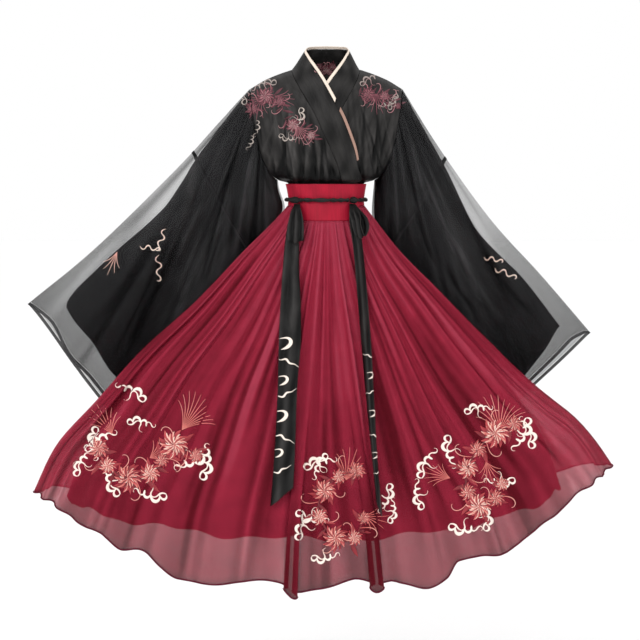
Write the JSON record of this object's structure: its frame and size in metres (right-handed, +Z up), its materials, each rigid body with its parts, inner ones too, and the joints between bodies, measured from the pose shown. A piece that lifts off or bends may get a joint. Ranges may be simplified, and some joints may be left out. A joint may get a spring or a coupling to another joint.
{
  "type": "hanfu robe set",
  "caption": "Cross-collar jacket with very wide sheer-over-black sleeves, a gathered two-layer red skirt with a waistband, and a tied waist cord, held open as when worn.",
  "frame": {"origin": "centre of the neck base on the shoulder line, where the wearer's shoulders hold the set up", "axes": "+X towards the wearer's left, so the sleeves spread along X; the front faces -Y, so +Y is towards the back; +Z up"},
  "size_m": [1.538, 0.6168, 1.3275],
  "materials": {
    "black_silk": "black satin and plain silk, soft sheen",
    "black_sheer": "black sheer organza",
    "cream": "cream satin piping",
    "beige": "muted rose-beige piping",
    "band_red": "crimson satin",
    "skirt_red": "crimson sheer chiffon",
    "lining_red": "deep red plain weave"
  },
  "bodies": {
    "root": {"jacket_back": "black_silk", "jacket_front_over": "black_silk", "jacket_front_under": "black_silk", "collar_over": "black_silk", "collar_under": "black_silk", "collar_piping_over": "cream", "collar_piping_under": "cream", "front_edge_piping": "beige", "sleeve_sheer_right": "black_sheer", "sleeve_sheer_left": "black_sheer", "sleeve_inner_right": "black_silk", "sleeve_inner_left": "black_silk", "cuff_band_right": "black_silk", "cuff_band_left": "black_silk", "waistband": "band_red", "skirt_over": "skirt_red", "skirt_lining": "lining_red", "waist_cord_front": "black_silk", "waist_cord_back": "black_silk", "knot_right": "black_silk", "knot_left": "black_silk", "bow_loop_right": "black_silk", "bow_loop_left": "black_silk", "streamer_right": "black_silk", "streamer_left": "black_silk"}
  },
  "joints": []
}
